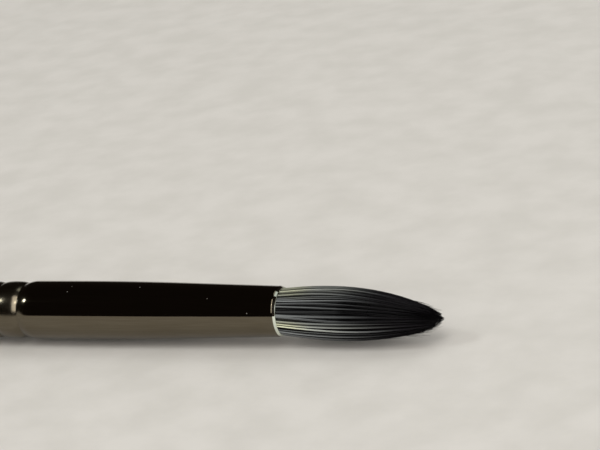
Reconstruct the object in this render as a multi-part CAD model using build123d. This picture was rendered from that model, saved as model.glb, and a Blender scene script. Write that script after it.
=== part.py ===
from build123d import *
from math import atan, tan
import os

# A round hair brush, lying with its axis along X. The tip of the hair points to +X and +Z is up.
# Z = 0 is the surface that the brush lies on, and X = 0 is the middle of its length.
# All sizes are in millimetres.

# ---- tuft, in front of the ferrule's mouth ----
tuft_length = 24.0
tuft_belly_diameter = 7.84
tuft_belly_distance = 8.0       # from the mouth to the thickest place
tuft_point_length = 1.6         # the last stretch, which is a plain cone
cover_setback = 1.4             # the outer hair stops this far short of the tip
belly_setback = 8.8             # the filling hair is shorter still
core_diameter = 2.6             # the longest hair, in the middle
core_nose_length = 5.4          # the stretch over which the core closes to its point
belly_hair_thickness = 1.2      # ring of filling hair around the core
layer_gap = 0.04                # room between one layer of hair and the next

# ---- hair root, inside the ferrule ----
root_depth = 11.0               # from the mouth back to the cut end of the hair
root_tied_length = 3.4          # tied part of the root, before it spreads to fill the mouth
hair_to_tube_gap = 0.03

# ---- ferrule ----
ferrule_length = 49.7
ferrule_wall = 0.2
ferrule_diameter = 8.72
ferrule_mouth_diameter = 7.32
ferrule_tail_diameter = 8.5     # behind the crimp
taper_length = 24.5             # from the mouth back to where the cone's line meets the tube's
taper_bend_length = 17.0        # the rounded stretch there, between tube and cone
lip_length = 0.5                # rolled-in edge of the mouth, along the axis
lip_drop = 0.12                 # how far that edge is rolled in

# ---- crimp: two pressed grooves with a bead between them ----
rear_groove_distance = 4.0      # from the ferrule's rear end to the groove beside it
groove_spacing = 4.08
groove_floor_diameter = 7.96
groove_half_width = 0.72
front_flank = 1.2               # the front groove's longer flank, up to the straight tube
bead_diameter = 8.62            # where the two halves of the bead would meet
bead_shoulder_diameter = 8.46   # where the bead turns down into a groove
groove_floor_round = 0.3
bead_round = 8.0
bead_shoulder_round = 3.5
shoulder_round = 4.5
tail_round = 3.0

# ---- handle ----
handle_length = 140.0           # the visible part, behind the ferrule
tenon_length = 15.0             # the part inside the ferrule
tenon_chamfer = 0.6
handle_neck_diameter = 8.4      # right behind the ferrule
handle_belly_diameter = 10.0
handle_belly_distance = 26.0    # from the ferrule's rear end
handle_waist_diameter = 6.6
handle_waist_distance = 90.0
handle_tail_diameter = 4.4
handle_tail_round = 2.0
handle_seat_gap = 0.05          # between the handle's step and the tube's rear edge

# ---- glue between tenon and tube ----
glue_film = 0.12
glue_clearance = 0.01           # each side of the film
glue_front_gap = 0.5            # the film stops short of the tenon's chamfer

# ---- cured resin around the cut end of the hair ----
resin_thickness = 1.6           # behind the hair
resin_skirt_length = 1.0        # around the root
resin_clearance = 0.03

# ---- binding thread ----
thread_diameter = 0.28
thread_pitch = 0.31
thread_turns = 5
thread_clearance = 0.02
thread_to_tube_gap = 0.04       # at the front of the winding, where the tube is narrowest

# ---- places along the axis, counted from the mouth and positive towards the tip ----
ferrule_rear = -ferrule_length
rear_groove = ferrule_rear + rear_groove_distance
front_groove = rear_groove + groove_spacing
bead_middle = (rear_groove + front_groove) / 2
taper_corner = -taper_length
lip_start = -lip_length
tenon_front = ferrule_rear + tenon_length
handle_step = ferrule_rear - handle_seat_gap
handle_tail = ferrule_rear - handle_length
root_end = -root_depth
root_spread = root_end + root_tied_length
thread_start = root_end + resin_skirt_length + thread_diameter
thread_front = thread_start + thread_turns * thread_pitch + thread_diameter / 2
cover_end = tuft_length - cover_setback
belly_hair_end = tuft_length - belly_setback
core_nose_start = tuft_length - core_nose_length

# ---- radii ----
tube_radius = ferrule_diameter / 2
mouth_radius = ferrule_mouth_diameter / 2
core_radius = core_diameter / 2
tuft_radius = tuft_belly_diameter / 2

# The straight tube bends smoothly into a cone, which ends at the mouth's radius.
taper_slope = (tube_radius - mouth_radius) / taper_length
taper_bend_radius = taper_bend_length / 2 / tan(atan(taper_slope) / 2)

# ---- the part's frame ----
total_length = tuft_length + ferrule_length + handle_length
mouth_x = total_length / 2 - tuft_length
axis_height = max(handle_belly_diameter, ferrule_diameter, tuft_belly_diameter) / 2
to_frame = Pos(mouth_x, 0, axis_height)


def cone_radius(x):
    """Outer radius of the ferrule on its cone."""
    return mouth_radius - x * taper_slope


def tube_inside(x):
    """Inner radius of the ferrule on its cone."""
    return cone_radius(x) - ferrule_wall


# The tied root leaves room in the tube for the thread around it.
root_radius = tube_inside(thread_front) - thread_to_tube_gap - thread_diameter - thread_clearance


def closing(x, start, end, power):
    """1 at start, falling in a rounded way to 0 at end."""
    share = (x - start) / (end - start)
    return (1 - share**2) ** power


def tuft_outline_radius(x):
    """Outer radius of the tuft in front of the mouth: it swells to its belly and closes."""
    at_mouth = tube_inside(0) - hair_to_tube_gap
    if x < tuft_belly_distance:
        swell = (tuft_belly_distance - x) / tuft_belly_distance
        return tuft_radius - (tuft_radius - at_mouth) * swell**2
    return tuft_radius * closing(x, tuft_belly_distance, tuft_length, 0.75)


def core_outline_radius(x):
    """Radius of the core hair on its nose."""
    return core_radius * closing(x, core_nose_start, tuft_length, 0.75)


def belly_outline_radius(x):
    """Outer radius of the filling hair from the tuft's belly to its own end."""
    inside = core_radius + layer_gap
    return inside + belly_hair_thickness * closing(x, tuft_belly_distance, belly_hair_end, 1.0)


def curve(radius_at, start, end, lift=0.0, points=9):
    """A smooth line through the radii from start to end, moved out by lift."""
    step = (end - start) / (points - 1)
    places = [start + step * i for i in range(points)]
    return Spline(*[(x, radius_at(x) + lift) for x in places])


def joined(*corners):
    """Straight lines from corner to corner."""
    return Polyline(*corners)


def turned(lines):
    """A solid of revolution about the brush's axis, from its closed half outline."""
    face = Plane.XZ * make_face(lines)
    return to_frame * revolve(face, Axis.X, 360)


def crimp_corners(start, inset):
    """Corners of the crimped end, forward from start, moved in by inset, and the round on each but the first."""
    tail = ferrule_tail_diameter / 2 - inset
    floor = groove_floor_diameter / 2 - inset
    bead = bead_diameter / 2 - inset
    bead_shoulder = bead_shoulder_diameter / 2 - inset
    corners = [
        (start, tail),
        (rear_groove - groove_half_width, tail),
        (rear_groove, floor),
        (rear_groove + groove_half_width, bead_shoulder),
        (bead_middle, bead),
        (front_groove - groove_half_width, bead_shoulder),
        (front_groove, floor),
        (front_groove + front_flank, tube_radius - inset),
    ]
    rounds = [
        tail_round,
        groove_floor_round,
        bead_shoulder_round,
        bead_round,
        bead_shoulder_round,
        groove_floor_round,
        shoulder_round,
    ]
    return corners, rounds


def crimp_line(start, end, inset):
    """Outline of the crimped end and the straight tube, forward from start to end."""
    corners, rounds = crimp_corners(start, inset)
    return FilletPolyline(*corners, (end, tube_radius - inset), radius=rounds)


def tube_line(end, inset):
    """Outline of the whole tube from its rear edge to end, which is on the cone."""
    corners, rounds = crimp_corners(ferrule_rear, inset)
    corners += [(taper_corner, tube_radius - inset), (end, cone_radius(end) - inset)]
    return FilletPolyline(*corners, radius=rounds + [taper_bend_radius])


def make_ferrule():
    """The seamless tube: crimp, straight stretch, taper and rolled-in lip."""
    lip_radius = cone_radius(lip_start)
    lip_edge = lip_radius - lip_drop
    tail = ferrule_tail_diameter / 2
    outer_line = tube_line(lip_start, 0)
    return turned([
        outer_line,
        TangentArc((lip_start, lip_radius), (0, lip_edge), tangent=outer_line % 1),
        joined((0, lip_edge), (0, tube_inside(0))),
        tube_line(0, ferrule_wall),
        joined((ferrule_rear, tail - ferrule_wall), (ferrule_rear, tail)),
    ])


def make_handle():
    """The turned handle, with the tenon that fills the crimped end of the tube."""
    inset = ferrule_wall + glue_film + 2 * glue_clearance
    tenon_radius = tube_radius - inset
    chamfer_start = tenon_front - tenon_chamfer
    neck = (handle_step, handle_neck_diameter / 2)
    belly = (ferrule_rear - handle_belly_distance, handle_belly_diameter / 2)
    waist = (ferrule_rear - handle_waist_distance, handle_waist_diameter / 2)
    tail = (handle_tail + handle_tail_round, handle_tail_diameter / 2)
    return turned([
        crimp_line(handle_step, chamfer_start, inset),
        joined(
            (chamfer_start, tenon_radius),
            (tenon_front, tenon_radius - tenon_chamfer),
            (tenon_front, 0),
            (handle_tail, 0),
        ),
        EllipticalCenterArc((tail[0], 0), handle_tail_round, tail[1], start_angle=90, arc_size=90),
        Spline(tail, waist, belly, tangents=[(waist[0] - tail[0], waist[1] - tail[1]), (1, 0)]),
        Spline(belly, neck, tangents=[(1, 0), (8, -1)]),
        joined(neck, (handle_step, ferrule_tail_diameter / 2 - inset)),
    ])


def make_handle_glue():
    """The cured film between tenon and tube, pressed into both crimp grooves."""
    outer_inset = ferrule_wall + glue_clearance
    inner_inset = outer_inset + glue_film
    front = tenon_front - tenon_chamfer - glue_front_gap
    tail = ferrule_tail_diameter / 2
    return turned([
        crimp_line(ferrule_rear, front, outer_inset),
        joined((front, tube_radius - outer_inset), (front, tube_radius - inner_inset)),
        crimp_line(ferrule_rear, front, inner_inset),
        joined((ferrule_rear, tail - inner_inset), (ferrule_rear, tail - outer_inset)),
    ])


def make_core_hair():
    """The longest hair, which runs down the middle and makes the point."""
    cone_start = tuft_length - tuft_point_length / 2
    return turned([
        joined((root_end, 0), (root_end, core_radius), (core_nose_start, core_radius)),
        curve(core_outline_radius, core_nose_start, cone_start),
        joined((cone_start, core_outline_radius(cone_start)), (tuft_length, 0), (root_end, 0)),
    ])


def make_belly_hair():
    """The shorter hair around the core, which fills the tuft's belly."""
    inside = core_radius + layer_gap
    outside = inside + belly_hair_thickness
    return turned([
        joined((root_end, inside), (root_end, outside), (tuft_belly_distance, outside)),
        curve(belly_outline_radius, tuft_belly_distance, belly_hair_end),
        joined((belly_hair_end, inside), (root_end, inside)),
    ])


def make_cover_hair():
    """The outer hair, which lies over the rest from the root almost to the tip."""
    over_core = core_radius + layer_gap
    over_belly = over_core + belly_hair_thickness + layer_gap
    end_inside = core_outline_radius(cover_end) + layer_gap
    return turned([
        joined(
            (tuft_belly_distance, over_belly),
            (root_end, over_belly),
            (root_end, root_radius),
            (root_spread, root_radius),
            (0, tuft_outline_radius(0)),
        ),
        curve(tuft_outline_radius, 0, tuft_belly_distance),
        curve(tuft_outline_radius, tuft_belly_distance, cover_end),
        joined((cover_end, tuft_outline_radius(cover_end)), (cover_end, end_inside)),
        curve(core_outline_radius, core_nose_start, cover_end, lift=layer_gap),
        joined(
            (core_nose_start, over_core),
            (belly_hair_end + layer_gap, over_core),
            (belly_hair_end, over_core + layer_gap),
        ),
        curve(belly_outline_radius, tuft_belly_distance, belly_hair_end, lift=layer_gap),
    ])


def make_resin_plug():
    """The cup of cured resin behind and around the cut end of the hair."""
    inner_floor = root_end - resin_clearance
    rear = inner_floor - resin_thickness
    front = root_end + resin_skirt_length
    skirt_inside = root_radius + resin_clearance
    return turned([
        joined(
            (rear, 0),
            (rear, tube_inside(rear) - resin_clearance),
            (front, tube_inside(front) - resin_clearance),
            (front, skirt_inside),
            (inner_floor, skirt_inside),
            (inner_floor, 0),
            (rear, 0),
        ),
    ])


def make_binding_thread():
    """The thread wound around the hair root, in front of the resin."""
    winding_radius = root_radius + thread_clearance + thread_diameter / 2
    winding_length = thread_turns * thread_pitch
    winding = Helix(
        thread_pitch,
        winding_length,
        winding_radius,
        center=(thread_start, 0, 0),
        direction=(1, 0, 0),
    )
    section = Plane(origin=winding @ 0, z_dir=winding % 0) * Circle(thread_diameter / 2)
    return to_frame * sweep(section, path=winding, is_frenet=True)


pieces = {
    "ferrule": make_ferrule(),
    "handle": make_handle(),
    "handle_glue": make_handle_glue(),
    "resin_plug": make_resin_plug(),
    "binding_thread": make_binding_thread(),
    "core_hair": make_core_hair(),
    "belly_hair": make_belly_hair(),
    "cover_hair": make_cover_hair(),
}

os.makedirs("parts", exist_ok=True)
for name, piece in pieces.items():
    export_step(piece, f"parts/{name}.step")
    print(f"{name}: {piece.volume:.2f} mm3")

print(f"mouth at x = {mouth_x:.2f}, axis at z = {axis_height:.2f}, total length {total_length:.2f}")
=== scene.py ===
# %% [markdown]
# # A round hair brush on a pale table
# A round brush is a bundle of tapered hairs, tied, glued and pressed into a metal tube, the
# ferrule. The tube is crimped onto the tenon of a turned wooden handle.
# This lesson dresses the measured solids of that brush: a spun metal tube, a lacquered handle
# and almost two thousand single hairs. The sizes of the brush are written in millimetres, as
# on its drawing, and turned into metres for Blender. The frame is the one of the solids: the
# axis of the brush lies along X, the hair points to +X, and the table is at Z = 0.

from math import atan, cos, pi, radians, sin, tan

import bpy
import numpy as np
from mathutils import Matrix, Vector


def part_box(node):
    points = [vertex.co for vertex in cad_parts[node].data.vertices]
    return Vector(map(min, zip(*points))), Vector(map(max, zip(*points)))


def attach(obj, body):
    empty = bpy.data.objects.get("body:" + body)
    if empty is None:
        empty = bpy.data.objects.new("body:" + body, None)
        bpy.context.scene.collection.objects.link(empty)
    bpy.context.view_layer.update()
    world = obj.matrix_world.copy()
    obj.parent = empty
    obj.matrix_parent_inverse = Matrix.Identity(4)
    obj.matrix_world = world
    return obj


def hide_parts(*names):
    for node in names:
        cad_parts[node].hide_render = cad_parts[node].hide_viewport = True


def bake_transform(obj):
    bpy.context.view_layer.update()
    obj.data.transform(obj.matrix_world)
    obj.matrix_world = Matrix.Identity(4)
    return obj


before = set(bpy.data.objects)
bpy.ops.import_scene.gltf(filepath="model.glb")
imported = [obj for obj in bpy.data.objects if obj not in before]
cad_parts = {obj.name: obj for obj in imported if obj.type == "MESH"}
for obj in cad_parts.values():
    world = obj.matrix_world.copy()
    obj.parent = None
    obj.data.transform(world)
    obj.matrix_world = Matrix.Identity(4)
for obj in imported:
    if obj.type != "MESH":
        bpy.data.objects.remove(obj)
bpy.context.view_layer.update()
print("solids:", sorted(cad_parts))

# %% [markdown]
# ## Where the brush lies
# The mouth of the ferrule, where the hair comes out, is the natural zero for everything here:
# a distance along the brush is counted from the mouth, and grows towards the tip of the hair.
# The mouth and the height of the axis are read from the solid ferrule, so the looks follow it
# if the brush is moved. The sizes are written out in the cells below.

# %% Axis and mouth of the ferrule
MM = 0.001
ferrule_low, ferrule_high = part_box("ferrule")
MOUTH = ferrule_high.x
AXIS_HEIGHT = (ferrule_low.z + ferrule_high.z) / 2
mouth_centre = Vector((MOUTH, 0, AXIS_HEIGHT))
print("mouth of the ferrule:", tuple(round(x, 5) for x in mouth_centre))


def on_brush(along, radius, angle):
    """Points beside the axis, in metres: angle 0 faces the front, and a quarter turn is up."""
    x = MOUTH + along * MM
    y = -radius * MM * np.cos(angle)
    z = AXIS_HEIGHT + radius * MM * np.sin(angle)
    return np.stack(np.broadcast_arrays(x, y, z), axis=-1)


# %% [markdown]
# ## Camera
# A long lens stands close to the brush and a little above it, so that the tube runs out of the
# picture on the left and the hair ends right of the middle. The camera is turned a few degrees
# about its own line of sight, which lays the tube level in the picture.

# %% Camera
CAMERA_AZIMUTH = radians(24.470)
CAMERA_ELEVATION = radians(22.5)
CAMERA_DISTANCE = 286.5 * MM
CAMERA_ROLL = radians(-9.145)
AIM_RIGHT = 4.268 * MM
AIM_UP = 11.822 * MM
LENS = 120
FILM_WIDTH = 36
NEAREST = 0.01
FURTHEST = 30

towards_camera = Vector((
    sin(CAMERA_AZIMUTH) * cos(CAMERA_ELEVATION),
    -cos(CAMERA_AZIMUTH) * cos(CAMERA_ELEVATION),
    sin(CAMERA_ELEVATION),
))
level_right = Vector((cos(CAMERA_AZIMUTH), sin(CAMERA_AZIMUTH), 0))
level_up = towards_camera.cross(level_right)
camera_place = mouth_centre + towards_camera * CAMERA_DISTANCE
aim = mouth_centre + level_right * AIM_RIGHT + level_up * AIM_UP
forward = (aim - camera_place).normalized()
right = forward.cross(Vector((0, 0, 1))).normalized()
up = right.cross(forward)
rolled_right = right * cos(CAMERA_ROLL) + up * sin(CAMERA_ROLL)
rolled_up = up * cos(CAMERA_ROLL) - right * sin(CAMERA_ROLL)

camera_data = bpy.data.cameras.new("long_lens")
camera_data.lens = LENS
camera_data.sensor_width = FILM_WIDTH
camera_data.clip_start = NEAREST
camera_data.clip_end = FURTHEST
camera = bpy.data.objects.new("camera", camera_data)
turn = Matrix((rolled_right, rolled_up, -forward)).transposed()
camera.matrix_world = Matrix.Translation(camera_place) @ turn.to_4x4()
bpy.context.collection.objects.link(camera)
bpy.context.scene.camera = camera
bpy.context.scene.view_settings.view_transform = "Standard"
print("camera stands", round(camera_place.z / MM), "mm above the table")

# %% [markdown]
# ## Small helpers for materials
# Each finish below is a Principled shader with a few texture nodes before it. Small helpers
# keep those cells short. One starts a material, and one adds a node and sets it up. One makes
# the texture coordinates, in millimetres, that the patterns are measured in. The others map a
# value from one range to another, do a step of arithmetic, make a bump, and mix two colours.

# %% Helpers for materials


def start_material(name):
    """A new material, its node tree and its Principled shader."""
    material = bpy.data.materials.new(name)
    material.use_nodes = True
    tree = material.node_tree
    return material, tree, tree.nodes["Principled BSDF"]


def node(tree, kind, inputs=None, **settings):
    """Adds a node. Each input is a plain value, or the output of another node."""
    made = tree.nodes.new("ShaderNode" + kind)
    for key, value in settings.items():
        setattr(made, key, value)
    for key, value in (inputs or {}).items():
        if isinstance(value, bpy.types.NodeSocket):
            tree.links.new(value, made.inputs[key])
        else:
            made.inputs[key].default_value = value
    return made


def millimetres(tree, stretch=(1, 1, 1)):
    """The place on the piece in millimetres, squeezed or stretched for a directed pattern."""
    place = node(tree, "TexCoord").outputs["Object"]
    scale = tuple(1 / MM * s for s in stretch)
    return node(tree, "Mapping", {"Vector": place, "Scale": scale}).outputs["Vector"]


def between(tree, value, low, high, to_low=0.0, to_high=1.0, smooth=False):
    """Maps a value from one range to another, and holds it at the ends."""
    kind = "SMOOTHSTEP" if smooth else "LINEAR"
    values = {"Value": value, "From Min": low, "From Max": high}
    values.update({"To Min": to_low, "To Max": to_high})
    return node(tree, "MapRange", values, interpolation_type=kind).outputs["Result"]


def maths(tree, operation, *values):
    """One step of arithmetic. Each value is a plain number, or the output of another node."""
    return node(tree, "Math", dict(enumerate(values)), operation=operation).outputs[0]


def emboss(tree, height, strength, distance, socket):
    """Makes a normal socket follow a pattern of heights. The distance is their rise, in metres."""
    values = {"Height": height, "Strength": strength, "Distance": distance}
    tree.links.new(node(tree, "Bump", values).outputs["Normal"], socket)


def colour_mix(tree, share, first, second):
    """A mix of two colours, each a plain colour or a node's output."""
    made = node(tree, "Mix", {"Factor": share}, data_type="RGBA")
    for socket, value in ((made.inputs[6], first), (made.inputs[7], second)):
        if isinstance(value, bpy.types.NodeSocket):
            tree.links.new(value, socket)
        else:
            socket.default_value = (*value, 1)
    return made.outputs[2]


# %% [markdown]
# ## Table
# The brush lies on a matt, pale table. It is one large sheet, so that it also fills every
# mirror-like reflection in the tube below the horizon. A faint mottling and a soft bump keep it
# from looking like plain paper. Far from the brush, where the lamps light it less, it is painted
# lighter as painted light, so that a low view shows no dark band before the horizon.

# %% Table
TABLE_HALF = 8.0
TABLE_PALE = (0.600, 0.578, 0.546)
TABLE_PALER = (0.650, 0.626, 0.596)
TABLE_FAR_PAINTED_LIGHT = (0.93, 0.90, 0.86)
PAINTED_LIGHT_FROM = 0.6
PAINTED_LIGHT_TO = 2.4
table_mesh = bpy.data.meshes.new("table")
corners = [(-TABLE_HALF, -TABLE_HALF, 0), (TABLE_HALF, -TABLE_HALF, 0),
           (TABLE_HALF, TABLE_HALF, 0), (-TABLE_HALF, TABLE_HALF, 0)]
table_mesh.from_pydata(corners, [], [(0, 1, 2, 3)])
table = bpy.data.objects.new("table", table_mesh)
bpy.context.collection.objects.link(table)

paint, tree, shader = start_material("pale_paint")
mottling = node(tree, "TexNoise", {"Vector": millimetres(tree), "Scale": 0.12, "Detail": 5.0})
share = between(tree, mottling.outputs["Fac"], 0.35, 0.65)
table_colour = colour_mix(tree, share, TABLE_PALE, TABLE_PALER)
place = node(tree, "TexCoord").outputs["Object"]
reach = node(tree, "VectorMath", {0: place}, operation="LENGTH").outputs["Value"]
# painted light: the table is painted lighter far from the brush, where the lamps light it less
far_painted_light_share = between(tree, reach, PAINTED_LIGHT_FROM, PAINTED_LIGHT_TO, smooth=True)
table_colour = colour_mix(tree, far_painted_light_share, table_colour, TABLE_FAR_PAINTED_LIGHT)
tree.links.new(table_colour, shader.inputs["Base Color"])
shader.inputs["Roughness"].default_value = 0.75
brushed = millimetres(tree, (0.5, 1.6, 1))
grain = node(tree, "TexNoise", {"Vector": brushed, "Scale": 0.9, "Detail": 4.0}).outputs["Fac"]
emboss(tree, grain, 0.25, 0.1 * MM, shader.inputs["Normal"])
table_mesh.materials.append(paint)

# %% [markdown]
# ## Light
# A polished tube shows its surroundings, so the surroundings are half of its finish. The room
# above the horizon is dark, which makes the upper half of the tube black, and the pale table
# makes its lower half grey. A straight tube can only mirror lights from one narrow fan of
# directions on its left, so no lamp stands there. The key is a tall softbox in front, a little
# to the right, like a window: only the flank of the crimp's bead and the rolled lip catch it.
# A small, hot sun shines from inside its upper half. A weak softbox hangs overhead, and a
# narrow sun far on the left glances along the hair. On the right, beyond the tip, a broad and
# weak softbox stands for a pale wall: the worn rim of the tube mirrors it, and so comes out
# light.

# %% Lamps


def aimed(name, data, direction, distance=1.0):
    """Puts a light in a direction from the mouth of the ferrule, facing it."""
    light = bpy.data.objects.new(name, data)
    light.rotation_mode = "QUATERNION"
    light.rotation_quaternion = Vector(direction).to_track_quat("Z", "Y")
    light.location = mouth_centre + Vector(direction).normalized() * distance
    bpy.context.collection.objects.link(light)


def sun(name, direction, strength, width, colour):
    """A distant light. Its width is how large it looks, in degrees."""
    data = bpy.data.lights.new(name, "SUN")
    data.energy = strength
    data.angle = radians(width)
    data.color = colour
    aimed(name, data, direction)


def softbox(name, direction, distance, wide, high, radiance, colour):
    """A rectangle of light that looks equally bright from everywhere in front of it."""
    data = bpy.data.lights.new(name, "AREA")
    data.shape = "RECTANGLE"
    data.size = wide
    data.size_y = high
    data.energy = radiance * pi * wide * high
    data.color = colour
    aimed(name, data, direction, distance)


WARM = (1.0, 0.98, 0.94)
COOL = (0.93, 1.0, 0.98)
softbox("key_window", (0.10, -0.67, 0.74), 1.6, 0.80, 1.90, 3.2, WARM)
sun("hot_spot", (0.13, -0.60, 0.79), 0.17, 8, WARM)
softbox("overhead_softbox", (0.15, 0.36, 0.92), 1.4, 0.80, 0.55, 1.3, COOL)
sun("left_glance", (-0.66, -0.33, 0.67), 0.42, 9, COOL)
softbox("pale_wall", (0.88, -0.04, 0.34), 1.6, 2.00, 0.95, 0.9, WARM)

# %% [markdown]
# ## The room around
# The world has two looks. Matt surfaces are lit by an even fill. Everything else, and so the
# mirror of the tube, sees a dark room with a pale band low above the horizon. The band lies
# behind the brush and on the far left, and is left out in front, where it would show as a
# line along the tube.

# %% World
ROOM_DARK = (0.020, 0.015, 0.012)
ROOM_FILL = (0.48, 0.467, 0.447)
HORIZON_PALE = (0.55, 0.535, 0.50)
PALE_BAND = (0.062, 0.085)
BEHIND_BRUSH = (-0.55, -0.25)
FAR_LEFT = (-0.85, -0.70)
world = bpy.data.worlds.new("dark_studio")
world.use_nodes = True
bpy.context.scene.world = world
tree = world.node_tree
background = tree.nodes["Background"]
direction = node(tree, "TexCoord").outputs["Generated"]
parts = node(tree, "SeparateXYZ", {"Vector": direction})
low_band = between(tree, parts.outputs["Z"], *PALE_BAND, 1.0, 0.0, smooth=True)
behind = between(tree, parts.outputs["Y"], *BEHIND_BRUSH, 0.0, 1.0, smooth=True)
left = between(tree, parts.outputs["X"], *FAR_LEFT, 1.0, 0.0, smooth=True)
around = maths(tree, "MAXIMUM", behind, left)
pale_share = maths(tree, "MULTIPLY", low_band, around)
seen = colour_mix(tree, pale_share, ROOM_DARK, HORIZON_PALE)
matt_ray = node(tree, "LightPath").outputs["Is Diffuse Ray"]
room = colour_mix(tree, matt_ray, seen, ROOM_FILL)
tree.links.new(room, background.inputs["Color"])
background.inputs["Strength"].default_value = 1.0

# %% [markdown]
# ## Turning on a lathe
# Ferrule and handle are round, so both come from one half outline that is turned about the
# axis. The outline is written as a few corners, as on a drawing, and each corner is rounded
# with an arc. A Screw modifier could turn it too, but making the mesh directly gives exact,
# closed surfaces with no seam, and lets a mirror finish stay smooth.

# %% Lathe


def rounded(corners, rounds, steps=14):
    """The line through the corners, with each inner corner replaced by an arc of its radius."""
    line = [corners[0]]
    for before, corner, after, radius in zip(corners, corners[1:], corners[2:], rounds):
        corner = np.array(corner, float)
        back = np.array(before, float) - corner
        ahead = np.array(after, float) - corner
        back /= np.linalg.norm(back)
        ahead /= np.linalg.norm(ahead)
        half = np.arccos(np.clip(back @ ahead, -1, 1)) / 2
        start = corner + back * radius / np.tan(half)
        end = corner + ahead * radius / np.tan(half)
        middle = corner + (back + ahead) / np.linalg.norm(back + ahead) * radius / np.sin(half)
        for share in np.linspace(0, 1, steps):
            spoke = (start - middle) * (1 - share) + (end - middle) * share
            line.append(tuple(middle + spoke / np.linalg.norm(spoke) * radius))
    line.append(corners[-1])
    return line


ON_AXIS = 1e-9


def turned(name, outline, sides=192):
    """A mesh object from a half outline of (along, radius), both in millimetres."""
    outline = np.array(outline, float)
    at_axis = outline[:, 1] < ON_AXIS
    angles = np.arange(sides) * 2 * pi / sides
    points = []
    first = []
    for (along, radius), pole in zip(outline, at_axis):
        first.append(len(points))
        if pole:
            points.append(tuple(on_brush(along, 0.0, 0.0)))
        else:
            points.extend(map(tuple, on_brush(along, radius, angles)))
    closed = not (at_axis[0] and at_axis[-1])
    pairs = list(zip(range(len(outline)), list(range(1, len(outline))) + [0]))
    faces = []
    for a, b in pairs if closed else pairs[:-1]:
        for i in range(sides):
            j = (i + 1) % sides
            if at_axis[a]:
                faces.append((first[a], first[b] + i, first[b] + j))
            elif at_axis[b]:
                faces.append((first[a] + i, first[b], first[a] + j))
            else:
                faces.append((first[a] + i, first[b] + i, first[b] + j, first[a] + j))
    mesh = bpy.data.meshes.new(name)
    mesh.from_pydata(points, [], faces)
    mesh.update()
    mesh.shade_smooth()
    made = bpy.data.objects.new(name, mesh)
    bpy.context.collection.objects.link(made)
    print(name, "has", len(faces), "faces")
    return made


# %% [markdown]
# ## Ferrule
# The ferrule is a seamless tube of plated brass. It is spun to a long, gentle taper towards
# the mouth, its edge is rolled in so that it can't cut the hair, and its rear end is pressed
# onto the handle by two grooves with a round bead between them. The numbers are the ones that
# the solid was drawn with, except at the rolled edge: here it turns in about a tenth of a
# millimetre further, and is rounded, so that it catches the light as a lip does.

# %% Ferrule outline
FERRULE_LENGTH = 49.7
WALL = 0.2
TUBE = 8.72 / 2
MOUTH_RADIUS = 7.32 / 2
TAIL = 8.5 / 2
TAPER_LENGTH = 24.5
TAPER_BEND_LENGTH = 17.0
TAPER_SLOPE = (TUBE - MOUTH_RADIUS) / TAPER_LENGTH
TAPER_BEND = TAPER_BEND_LENGTH / 2 / tan(atan(TAPER_SLOPE) / 2)
LIP_LENGTH = 0.50
LIP_EDGE = 3.46
LIP_ROUND = 0.36
EDGE_ROUND = 0.14
EDGE_FLAT = 0.11
REAR_GROOVE = -FERRULE_LENGTH + 4.0
FRONT_GROOVE = REAR_GROOVE + 4.08
GROOVE_FLOOR = 7.96 / 2
GROOVE_HALF = 0.72
FRONT_FLANK = 1.2
BEAD = 8.62 / 2
BEAD_SHOULDER = 8.46 / 2
CRIMP_ROUNDS = [3.0, 0.3, 3.5, 8.0, 3.5, 0.3, 4.5]


def crimp(start, inset):
    """Corners of the crimped end of the tube, forward from start, moved in by inset."""
    return [
        (start, TAIL - inset),
        (REAR_GROOVE - GROOVE_HALF, TAIL - inset),
        (REAR_GROOVE, GROOVE_FLOOR - inset),
        (REAR_GROOVE + GROOVE_HALF, BEAD_SHOULDER - inset),
        ((REAR_GROOVE + FRONT_GROOVE) / 2, BEAD - inset),
        (FRONT_GROOVE - GROOVE_HALF, BEAD_SHOULDER - inset),
        (FRONT_GROOVE, GROOVE_FLOOR - inset),
        (FRONT_GROOVE + FRONT_FLANK, TUBE - inset),
    ]


def cone(along):
    """Outer radius on the straight cone behind the mouth."""
    return MOUTH_RADIUS - along * TAPER_SLOPE


outer_corners = crimp(-FERRULE_LENGTH, 0) + [(-TAPER_LENGTH, TUBE)]
outer_corners += [(-LIP_LENGTH, cone(-LIP_LENGTH)), (0, LIP_EDGE), (0, LIP_EDGE - EDGE_FLAT)]
outer_line = rounded(outer_corners, CRIMP_ROUNDS + [TAPER_BEND, LIP_ROUND, EDGE_ROUND])
inner_corners = crimp(-FERRULE_LENGTH, WALL)
inner_corners += [(-TAPER_LENGTH, TUBE - WALL), (0, LIP_EDGE - EDGE_FLAT)]
inner_line = rounded(inner_corners, CRIMP_ROUNDS + [TAPER_BEND])
ferrule_outline = outer_line + inner_line[::-1]
ferrule = turned("spun_ferrule", ferrule_outline)
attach(ferrule, "holder")
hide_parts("ferrule")

# %% [markdown]
# ## Dark nickel
# Black nickel is a mirror that gives back only about an eighth of the light, a little more of
# the red than of the blue. Its roughness is tiny along the tube, and larger in the crimp, where
# the tool has pressed it. What tells the eye that it is metal that has been handled is small: a
# slight waviness from the spinning, fine rubbed lines along the tube, and a few specks of dust.
# Round the mouth the dark plating is worn off, least of all at the top, and the bare metal of
# the rim shows as a thin light line.

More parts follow.
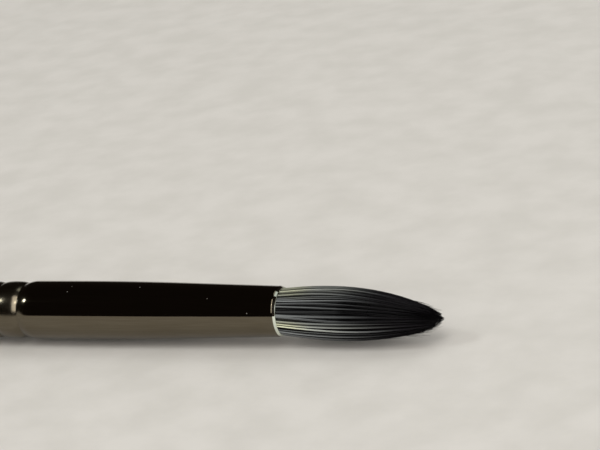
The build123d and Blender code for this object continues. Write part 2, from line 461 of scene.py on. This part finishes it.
# %% Dark nickel
nickel, tree, shader = start_material("dark_nickel")
NICKEL = (0.136, 0.116, 0.084)
RUBBED = (0.159, 0.138, 0.104)
DUST = (0.15, 0.15, 0.14)
BARE_EDGE = (0.86, 0.92, 0.82)
POLISH = (0.045, 0.075)
CRIMP_ROUGHNESS = 0.16
CRIMP_FROM = MOUTH - 38.5 * MM
CRIMP_TO = MOUTH - 42.0 * MM
BARE_FROM = MOUTH - 0.40 * MM
BARE_TO = MOUTH - 0.32 * MM
WORN_BELOW = AXIS_HEIGHT + 2.0 * MM
KEPT_ABOVE = AXIS_HEIGHT + 2.8 * MM
LEAST_WEAR = 0.3
along_tube = millimetres(tree, (0.12, 6, 6))
rubbing = node(tree, "TexNoise", {"Vector": along_tube, "Scale": 1.0, "Detail": 3.0})
rub_share = between(tree, rubbing.outputs["Fac"], 0.45, 0.75)
metal_colour = colour_mix(tree, rub_share, NICKEL, RUBBED)
specks = node(tree, "TexVoronoi", {"Vector": millimetres(tree), "Scale": 0.62, "Randomness": 1.0})
lottery = node(tree, "SeparateColor", {"Color": specks.outputs["Color"]}).outputs["Red"]
few = between(tree, lottery, 0.70, 0.71)
small = between(tree, specks.outputs["Distance"], 0.035, 0.060, 1.0, 0.0)
speck_share = maths(tree, "MULTIPLY", few, small)
place = node(tree, "SeparateXYZ", {"Vector": node(tree, "TexCoord").outputs["Object"]})
along_x = place.outputs["X"]
height_z = place.outputs["Z"]
at_edge = between(tree, along_x, BARE_FROM, BARE_TO)
wear = between(tree, height_z, WORN_BELOW, KEPT_ABOVE, 1.0, LEAST_WEAR, smooth=True)
bare_share = maths(tree, "MULTIPLY", at_edge, wear)
at_crimp = between(tree, along_x, CRIMP_FROM, CRIMP_TO, smooth=True)
metal_colour = colour_mix(tree, bare_share, metal_colour, BARE_EDGE)
tree.links.new(colour_mix(tree, speck_share, metal_colour, DUST), shader.inputs["Base Color"])
tree.links.new(between(tree, speck_share, 0, 1, 1.0, 0.0), shader.inputs["Metallic"])
polish = between(tree, rub_share, 0, 1, *POLISH)
pressed = maths(tree, "MULTIPLY_ADD", at_crimp, CRIMP_ROUGHNESS, polish)
dusty = maths(tree, "MAXIMUM", pressed, speck_share)
tree.links.new(dusty, shader.inputs["Roughness"])
round_tube = millimetres(tree, (1, 0.4, 0.4))
waves = node(tree, "TexNoise", {"Vector": round_tube, "Scale": 0.35, "Detail": 1.0})
height = maths(tree, "ADD", waves.outputs["Fac"], speck_share)
emboss(tree, height, 0.6, 0.012 * MM, shader.inputs["Normal"])
ferrule.data.materials.append(nickel)

# %% [markdown]
# ## Handle
# The handle is turned from one piece of wood: a neck as thick as the ferrule, a belly where
# the fingers hold it, a long waist and a thin round tail. Its front end is a tenon that fills
# the crimped part of the tube. The outline between the turned sizes is one smooth curve, which
# follows the solid's to within a tenth of a millimetre.

# %% Handle outline
HANDLE_LENGTH = 140.0
TENON_LENGTH = 15.0
TENON_CHAMFER = 0.6
TENON_INSET = WALL + 0.14
SEAT_GAP = 0.05
NECK = (-FERRULE_LENGTH - SEAT_GAP, 8.4 / 2)
BELLY = (-FERRULE_LENGTH - 26.0, 9.97 / 2)
WAIST = (-FERRULE_LENGTH - 90.0, 6.6 / 2)
NECK_SLOPE = -1 / 8
WAIST_SLOPE_SHARE = 0.85
TAIL_ROUND = 2.0
TAIL_END = (-FERRULE_LENGTH - HANDLE_LENGTH + TAIL_ROUND, 4.4 / 2)


def smooth_span(start, end, slope_start, slope_end, steps):
    """A cubic curve between two places with given slopes, without its last point."""
    span = end[0] - start[0]
    line = []
    for t in np.linspace(0, 1, steps, endpoint=False):
        h00 = 2 * t**3 - 3 * t**2 + 1
        h10 = t**3 - 2 * t**2 + t
        h01 = -2 * t**3 + 3 * t**2
        h11 = t**3 - t**2
        radius = h00 * start[1] + h10 * span * slope_start + h01 * end[1] + h11 * span * slope_end
        line.append((start[0] + span * t, radius))
    return line


front = -FERRULE_LENGTH + TENON_LENGTH
tenon_radius = TUBE - TENON_INSET
waist_slope = (BELLY[1] - TAIL_END[1]) / (BELLY[0] - TAIL_END[0]) * WAIST_SLOPE_SHARE
tail_slope = (WAIST[1] - TAIL_END[1]) / (WAIST[0] - TAIL_END[0])
handle_outline = [(front, 0.0), (front, tenon_radius - TENON_CHAMFER)]
tenon_corners = crimp(NECK[0], TENON_INSET) + [(front - TENON_CHAMFER, tenon_radius)]
tenon = rounded(tenon_corners, CRIMP_ROUNDS)
handle_outline += tenon[::-1]
handle_outline += smooth_span(NECK, BELLY, NECK_SLOPE, 0.0, 40)
handle_outline += smooth_span(BELLY, WAIST, 0.0, waist_slope, 50)
handle_outline += smooth_span(WAIST, TAIL_END, waist_slope, tail_slope, 40)
for turn_in in np.linspace(0, pi / 2, 16)[:-1]:
    along = TAIL_END[0] - TAIL_ROUND * sin(turn_in)
    handle_outline.append((along, TAIL_END[1] * cos(turn_in)))
handle_outline.append((TAIL_END[0] - TAIL_ROUND, 0.0))
handle = turned("lacquered_handle", handle_outline, sides=96)
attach(handle, "holder")
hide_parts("handle")

# %% [markdown]
# ## Black lacquer
# The wood is dipped in black lacquer several times. The colour lies in a slightly matt layer
# that still shows a trace of the long grain, and a clear coat over it gives the wet shine. The
# coat is the shader's own coat, with its values on its own sockets.

# %% Black lacquer
lacquer, tree, shader = start_material("black_lacquer")
LACQUER_BLACK = (0.0055, 0.0050, 0.0048)
LACQUER_GRAIN = (0.016, 0.013, 0.011)
along_grain = millimetres(tree, (0.05, 2.2, 2.2))
grain = node(tree, "TexNoise", {"Vector": along_grain, "Scale": 1.0, "Detail": 6.0})
grain_share = between(tree, grain.outputs["Fac"], 0.38, 0.66)
lacquer_colour = colour_mix(tree, grain_share, LACQUER_BLACK, LACQUER_GRAIN)
tree.links.new(lacquer_colour, shader.inputs["Base Color"])
tree.links.new(between(tree, grain_share, 0, 1, 0.30, 0.42), shader.inputs["Roughness"])
emboss(tree, grain_share, 0.25, 0.02 * MM, shader.inputs["Normal"])
orange_peel = node(tree, "TexNoise", {"Vector": millimetres(tree), "Scale": 0.8, "Detail": 1.0})
emboss(tree, orange_peel.outputs["Fac"], 0.2, 0.02 * MM, shader.inputs["Coat Normal"])
shader.inputs["Coat Weight"].default_value = 1.0
shader.inputs["Coat Roughness"].default_value = 0.05
handle.data.materials.append(lacquer)

# %% [markdown]
# ## What holds the brush together, out of sight
# Inside the tube are the thread that ties the hair, the resin that the root is set in, and the
# film of glue around the tenon. Their solids already have the right shape, so they stay, and
# only their finish is made here.

# %% Thread, resin and glue


def finish_solid(name, material):
    """Gives a solid of the frame a new material in each of its slots."""
    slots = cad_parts[name].material_slots
    if not slots:
        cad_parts[name].data.materials.append(material)
    for slot in slots:
        slot.material = material


THREAD_DARK = (0.42, 0.36, 0.27)
THREAD_PALE = (0.66, 0.60, 0.48)
RESIN_DARK = (0.36, 0.17, 0.05)
RESIN_PALE = (0.62, 0.38, 0.14)
GLUE_DARK = (0.62, 0.56, 0.42)
GLUE_PALE = (0.80, 0.75, 0.62)

thread, tree, shader = start_material("waxed_thread")
twist_values = {"Vector": millimetres(tree), "Scale": 2.2, "Distortion": 1.5}
twist = node(tree, "TexWave", twist_values, bands_direction="DIAGONAL").outputs["Fac"]
thread_colour = colour_mix(tree, twist, THREAD_DARK, THREAD_PALE)
tree.links.new(thread_colour, shader.inputs["Base Color"])
emboss(tree, twist, 0.6, 0.04 * MM, shader.inputs["Normal"])
shader.inputs["Roughness"].default_value = 0.6
finish_solid("binding_thread", thread)

resin, tree, shader = start_material("cured_resin")
cloud_values = {"Vector": millimetres(tree), "Scale": 0.7, "Detail": 4.0}
clouds = node(tree, "TexNoise", cloud_values).outputs["Fac"]
tree.links.new(colour_mix(tree, clouds, RESIN_DARK, RESIN_PALE), shader.inputs["Base Color"])
tree.links.new(between(tree, clouds, 0.3, 0.7, 0.12, 0.30), shader.inputs["Roughness"])
shader.inputs["Transmission Weight"].default_value = 0.35
finish_solid("resin_plug", resin)

glue, tree, shader = start_material("cured_glue")
bubble_values = {"Vector": millimetres(tree), "Scale": 2.0}
bubbles = node(tree, "TexVoronoi", bubble_values).outputs["Distance"]
tree.links.new(colour_mix(tree, bubbles, GLUE_DARK, GLUE_PALE), shader.inputs["Base Color"])
emboss(tree, bubbles, 0.4, 0.03 * MM, shader.inputs["Normal"])
shader.inputs["Roughness"].default_value = 0.35
finish_solid("handle_glue", glue)

# %% [markdown]
# ## Hair by the strand
# The tuft is made of single hairs, because its streaks, its gaps and its frayed tip are what makes
# a brush look like a brush. Blender's hair curves could do it, but a hair that is a thin tapered
# mesh tube can be exported and measured. Each hair is a row of small rings. All hairs of one layer
# go into one mesh, and every point keeps two values for the material: how light its own hair is,
# darkened as painted shade where it lies deep in the tuft, and how far along the tuft it sits.

# %% Strand mesh
RING = 5
TUFT_LENGTH = 24.0
DROOP_AT_MOUTH = 0.06
DROOP_AT_TIP = 0.98
DROOP_POWER = 1.35


def droop(along):
    """How far the tuft hangs below the axis, in millimetres, as it bends under its weight."""
    share = np.clip(along / TUFT_LENGTH, 0, None)
    start = np.clip((along + 1) / 2, 0, 1)
    return DROOP_AT_MOUTH * start + (DROOP_AT_TIP - DROOP_AT_MOUTH) * share**DROOP_POWER


def strand_mesh(name, along, radius, angle, thickness, tone_and_depth_shade):
    """One mesh of many hairs. Each row of the arrays is a hair, and each column a point on it."""
    hairs, points = along.shape
    path = on_brush(along, radius, angle)
    path[..., 2] -= droop(along) * MM
    tangent = np.gradient(path, axis=1)
    tangent /= np.linalg.norm(tangent, axis=2, keepdims=True)
    outward = np.stack([np.zeros_like(angle), -np.cos(angle), np.sin(angle)], axis=2)
    sideways = np.cross(tangent, outward)
    sideways /= np.linalg.norm(sideways, axis=2, keepdims=True)
    outward = np.cross(sideways, tangent)
    corner = np.arange(RING) * 2 * pi / RING
    ring = outward[:, :, None] * np.cos(corner)[:, None]
    ring = ring + sideways[:, :, None] * np.sin(corner)[:, None]
    vertices = path[:, :, None] + ring * thickness[:, :, None, None] * MM
    index = np.arange(hairs * points * RING).reshape(hairs, points, RING)
    following = np.roll(index, -1, axis=2)
    quads = np.stack([index[:, :-1], following[:, :-1], following[:, 1:], index[:, 1:]], axis=-1)
    quads = quads.reshape(-1, 4)
    caps = np.concatenate([index[:, 0, ::-1], index[:, -1]])
    mesh = bpy.data.meshes.new(name)
    mesh.from_pydata(vertices.reshape(-1, 3).tolist(), [], quads.tolist() + caps.tolist())
    smooth_sides = np.arange(len(quads) + len(caps)) < len(quads)
    mesh.polygons.foreach_set("use_smooth", smooth_sides)
    # the first value holds painted shade as well as each hair's own tone: hairs that lie deep get
    # a low one
    tone_and_shade_at_points = np.broadcast_to(tone_and_depth_shade[:, :, None], (hairs, points, RING)).astype(np.float32)
    place = np.broadcast_to(along[:, :, None], (hairs, points, RING)).astype(np.float32)
    for key, values in (("tone_and_depth_shade", tone_and_shade_at_points), ("along", place)):
        mesh.attributes.new(key, "FLOAT", "POINT").data.foreach_set("value", values.ravel())
    made = bpy.data.objects.new(name, mesh)
    bpy.context.collection.objects.link(made)
    print(name, "has", hairs, "hairs and", 2 * len(quads) + 6 * hairs, "triangles")
    return made


# %% [markdown]
# ## Shape of the tuft
# The tuft leaves the mouth as a tight cylinder, swells to its belly about a third of the way
# out, and closes to a point that is blunter than a needle, because not every hair reaches it.

# %% Outline of the tuft
ROOT_DEPTH = 11.0
ROOT_RADIUS = 3.30
HAIR_AT_MOUTH = 3.37
TUFT_BELLY = 7.84 / 2
BELLY_PLACE = 8.0
WIDENING_LENGTH = 4.0
BEYOND_TIP = 0.15
SWELL_POWER = 2.1
POINT_POWER = 0.75


def tuft_radius(along):
    """Outer radius of the tuft: inside the tube, up to its belly, and on to the tip."""
    swell = np.clip((BELLY_PLACE - along) / BELLY_PLACE, 0, 1)
    front = TUFT_BELLY - (TUFT_BELLY - HAIR_AT_MOUTH) * swell**SWELL_POWER
    share = np.clip((along - BELLY_PLACE) / (TUFT_LENGTH + BEYOND_TIP - BELLY_PLACE), 0, 1)
    point = TUFT_BELLY * (1 - share**2) ** POINT_POWER
    widening = np.clip(1 + along / WIDENING_LENGTH, 0, 1)
    inside = ROOT_RADIUS + (HAIR_AT_MOUTH - ROOT_RADIUS) * widening
    return np.where(along < 0, inside, np.where(along < BELLY_PLACE, front, point))


# %% [markdown]
# ## Clumps of cover hair
# A little dried size from the maker holds neighbouring hairs together in flat clumps. That is why
# a new tuft shows about forty broad streaks with dark gaps between them, and not a thousand thin
# lines. Each clump here has its own middle line, which wanders slowly round the tuft, and its
# hairs lie beside and over one another across a low arch. Hairs at a clump's edge and in its lower
# layers lie deeper, and their tone is made darker as painted shade for the gaps they lie in;
# besides that, each hair and each clump has its own random tone. Near the tip some hairs and some
# whole clumps come loose and stand off. Those below the axis, which hang free, stand off furthest.

# %% Cover hair
draw = np.random.default_rng(7)
CLUMPS = 42
HAIRS_IN_CLUMP = 14
POINTS = 18
HAIR_RADIUS = 0.060
LAYERS = [0, 0, 0, 0, 0, 1, 1, 1, 1, 1, 2, 2, 2, 2]
PLACES = [-0.95, -0.45, 0.0, 0.45, 0.95, -0.8, -0.3, 0.2, 0.7, 1.1, -1.0, -0.4, 0.3, 0.9]
CLUMP_ENDS = (21.6, 23.9)
SHORT_SHARE = 0.12
SHORT_ENDS = (17.0, 21.5)
CLUMP_WIDTHS = (0.60, 0.90)
ARCH_DEPTH = 0.26
LAYER_DEPTH = 0.115
LOOSE_HAIRS = 0.16
LOOSE_CLUMPS = 0.45
LOOSE_FROM = 0.72
HELD_ABOVE = 0.6
INSIDE_PLACE = -5.0
OUTSIDE_START = -0.6


def spread_points(hairs, ends, points=POINTS):
    """Places along each hair, from its root in the resin to its own end, closer near the tip."""
    share = np.linspace(0, 1, points - 2) ** 0.92
    outside = OUTSIDE_START + (ends[:, None] - OUTSIDE_START) * share
    root = np.tile([-ROOT_DEPTH, INSIDE_PLACE], (hairs, 1))
    return np.concatenate([root, outside], axis=1)


def taper_to_tip(along, ends, radius, blunt=0.16, start=0.55):
    """Radius of each hair, which thins out over its last part."""
    share = np.clip((along / ends[:, None] - start) / (1 - start), 0, 1)
    return radius * (1 - (1 - blunt) * share**1.3)


hairs = CLUMPS * HAIRS_IN_CLUMP
clump = np.repeat(np.arange(CLUMPS), HAIRS_IN_CLUMP)
pitch = 2 * pi / CLUMPS
layer = np.tile(LAYERS, CLUMPS)
across = np.tile(PLACES, CLUMPS)
across = across + draw.normal(0, 0.08, hairs)
clump_end = draw.uniform(*CLUMP_ENDS, CLUMPS)[clump]
ends = clump_end - draw.exponential(0.45, hairs)
is_short = draw.random(hairs) < SHORT_SHARE
short_end = draw.uniform(*SHORT_ENDS, hairs)
ends = np.where(is_short, short_end, np.clip(ends, 19.0, 23.85))
along = spread_points(hairs, ends)
middle = (np.arange(CLUMPS) + draw.normal(0, 0.10, CLUMPS)) * pitch
wander_size = draw.uniform(0.10, 0.34, (CLUMPS, 1)) * pitch
wander_turn = draw.uniform(0, 2 * pi, (CLUMPS, 1))
wander_pace = draw.uniform(0.16, 0.34, (CLUMPS, 1))
wave = np.sin(wander_pace * along.reshape(CLUMPS, -1) + wander_turn)
wandering = (wander_size * wave).reshape(along.shape)
width = draw.uniform(*CLUMP_WIDTHS, CLUMPS)[clump] * pitch / 2
to_end = np.clip(along / ends[:, None], 0, 1)
opening = 0.90 + 0.25 * np.clip(along / 16, 0, 1) - 0.75 * to_end**8
own_drift = draw.normal(0, 0.16, (hairs, 1)) * pitch
own_drift = own_drift * np.clip(along / TUFT_LENGTH, 0, 1) ** 1.5
angle = middle[clump][:, None] + wandering + (across * width)[:, None] * opening + own_drift
lift = draw.normal(0, 0.018, CLUMPS)[clump]
depth = ARCH_DEPTH * across**2 + LAYER_DEPTH * layer + lift + draw.uniform(0, 0.02, hairs)
thickness = taper_to_tip(along, ends, HAIR_RADIUS)
closeness = tuft_radius(along) / TUFT_BELLY
radius = tuft_radius(along) - thickness - depth[:, None] * np.clip(closeness, 0.25, 1)
# painted shade: hairs at a clump's edge and in lower layers get a darker tone for the shade they
# lie in
painted_edge_shade = np.clip(1.15 - 1.4 * across**2, 0.01, 1)
own_tone_and_depth_shade = draw.uniform(0.1, 1.3, hairs) * painted_edge_shade * (1 - 0.4 * layer)
clump_tone = draw.uniform(0.40, 1.0, CLUMPS)[clump] ** 1.5
tone_and_depth_shade = np.clip(own_tone_and_depth_shade * clump_tone, 0, 1)[:, None] * np.ones(POINTS)
stray = (draw.random(hairs) < LOOSE_HAIRS) * draw.uniform(0.12, 0.70, hairs)
loose_clumps = (draw.random(CLUMPS) < LOOSE_CLUMPS) * draw.uniform(0.08, 0.40, CLUMPS)
stray = stray + loose_clumps[clump]
hanging = 1 - HELD_ABOVE * np.sin(middle[clump])
frayed = np.clip((along / ends[:, None] - LOOSE_FROM) / (1 - LOOSE_FROM), 0, 1) ** 2
radius = radius + (stray * hanging)[:, None] * frayed
cover_hair = strand_mesh("cover_hair_strands", along, radius, angle, thickness, tone_and_depth_shade)

# %% [markdown]
# ## Hair under the cover
# Below the streaks lies more of the same hair, without clumps: the back of the cover layer, the
# shorter belly hair, and the core that makes the point. They get only a low tone, as painted shade
# for the depth they lie in, so they close the gaps darkly, and show where the tuft is bent or
# frayed.

# %% Belly and core hair


def loose_layer(name, hairs, low, high, shortest, longest, points, radius):
    """Hairs spread evenly over a ring of the root, each at its own share of the tuft's radius."""
    ends = draw.uniform(shortest, longest, hairs)
    along = spread_points(hairs, ends, points)
    start = np.sqrt(draw.uniform(low**2, high**2, hairs))
    drift = draw.normal(0, 0.05, (hairs, 1)) * np.clip(along / TUFT_LENGTH, 0, 1)
    angle = draw.uniform(0, 2 * pi, hairs)[:, None] + drift
    thickness = taper_to_tip(along, ends, radius)
    radius_along = tuft_radius(along) * start[:, None] - thickness
    # painted shade: the same hair is given only a low tone here, for the depth it lies in
    tone_and_depth_shade = draw.uniform(0.0, 0.12, hairs)[:, None] * np.ones(along.shape[1])
    return strand_mesh(name, along, np.clip(radius_along, 0.01, None), angle, thickness, tone_and_depth_shade)


under_hair = loose_layer("under_cover_strands", 520, 0.76, 0.915, 20.5, 23.5, 14, 0.070)
belly_hair = loose_layer("belly_hair_strands", 420, 0.36, 0.74, 12.5, 15.2, 10, 0.075)
core_hair = loose_layer("core_hair_strands", 320, 0.02, 0.62, 21.4, 23.9, 14, 0.070)

# %% [markdown]
# ## Black hair
# The hair is dyed synthetic fibre: nearly black, with a trace of purple, smooth and glossy. Close
# to the ferrule it is painted grey, partly for the dried size and partly as a painted sheen, and
# that grey is tinted green in some bands and blue in others by height, as a painted reflection.
# The grey fades along the tuft, and only on the lighter hairs does a faint painted streak reach
# the tip. The two values that every point of a hair carries choose the colour, and the tone among
# them holds painted shade for deep hairs.

# %% Black hair
DYE_DARK = (0.0018, 0.0017, 0.0021)
DYE_LIGHT = (0.0140, 0.0112, 0.0148)
SIZE_AND_SHEEN_BLUISH = (0.78, 0.83, 0.84)
SIZE_AND_SHEEN_GREENISH = (0.98, 1.0, 0.72)
SIZE_AND_SHEEN_REACH = (-5.0, 19.5)
SIZE_AND_SHEEN_STREAK_REACH = (9.0, 16.0)
SIZE_AND_SHEEN_CUT = 0.30
REFLECTION_TINT_BAND = 4.5
REFLECTION_TINT_WANDER = 2.5
REFLECTION_TINT_REACH = (2.0, 6.0)
HAIR_ROUGHNESS = (0.26, 0.36)
HAIR_IOR = 1.17

hair, tree, shader = start_material("black_hair")
tone_and_shade_value = node(tree, "Attribute", attribute_name="tone_and_depth_shade").outputs["Fac"]
along_value = node(tree, "Attribute", attribute_name="along").outputs["Fac"]
# partly dried size, partly painted sheen: the hair is greyed near the ferrule, and the grey fades
# along the tuft
size_and_sheen_share = between(tree, along_value, *SIZE_AND_SHEEN_REACH, 1.0, 0.0, smooth=True)
size_and_sheen_cut = between(tree, along_value, *SIZE_AND_SHEEN_STREAK_REACH, 0.0, SIZE_AND_SHEEN_CUT)
tone_and_shade_above_cut = between(tree, tone_and_shade_value, size_and_sheen_cut, 1.0)
# painted reflection: the grey near the tube is tinted in bands by height, green in some and blue
# in others
along_hair = millimetres(tree, (0.05, 0.30, 0.30))
reflection_tint_noise = node(tree, "TexNoise", {"Vector": along_hair, "Scale": 1.0, "Detail": 2.0})
height = node(tree, "SeparateXYZ", {"Vector": millimetres(tree)}).outputs["Z"]
wavy_height = maths(tree, "MULTIPLY_ADD", reflection_tint_noise.outputs["Fac"], REFLECTION_TINT_WANDER, height)
turn = maths(tree, "MULTIPLY", wavy_height, 2 * pi / REFLECTION_TINT_BAND)
swing = maths(tree, "SINE", turn)
near_tube = between(tree, along_value, *REFLECTION_TINT_REACH, 1.0, 0.25, smooth=True)
painted_reflection_tint = maths(tree, "MULTIPLY", between(tree, swing, 0.1, 1.0), near_tube)
size_and_sheen_colour = colour_mix(tree, painted_reflection_tint, SIZE_AND_SHEEN_BLUISH, SIZE_AND_SHEEN_GREENISH)
# the dye colour follows the tone, and so carries the painted shade of deep hairs
dye_and_depth_shade = colour_mix(tree, tone_and_shade_value, DYE_DARK, DYE_LIGHT)
size_and_sheen_grey_share = maths(tree, "MULTIPLY", size_and_sheen_share, tone_and_shade_above_cut)
tree.links.new(colour_mix(tree, size_and_sheen_grey_share, dye_and_depth_shade, size_and_sheen_colour), shader.inputs["Base Color"])
tree.links.new(between(tree, size_and_sheen_share, 0, 1, *HAIR_ROUGHNESS), shader.inputs["Roughness"])
shader.inputs["IOR"].default_value = HAIR_IOR
for piece in (cover_hair, under_hair, belly_hair, core_hair):
    piece.data.materials.append(hair)

# %% [markdown]
# ## The hair in place
# The hair sits fast in the tube and bends more and more towards the tip. A span for a bend is
# worked out, from the mouth to a little beyond the tip, but nothing here bends the tuft with it:
# each hair mesh only gets its place baked into its points, and the solid it stands for is hidden.

# %% Bake the hair in place
BEND_SHARE = 1.15
bend_start = on_brush(0.0, 0.0, 0.0)
bend_end = on_brush(BEND_SHARE * TUFT_LENGTH, 0.0, 0.0)
stands_for = ((cover_hair, "cover_hair"), (under_hair, "cover_hair"),
              (belly_hair, "belly_hair"), (core_hair, "core_hair"))
for piece, solid in stands_for:
    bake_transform(piece)
    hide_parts(solid)
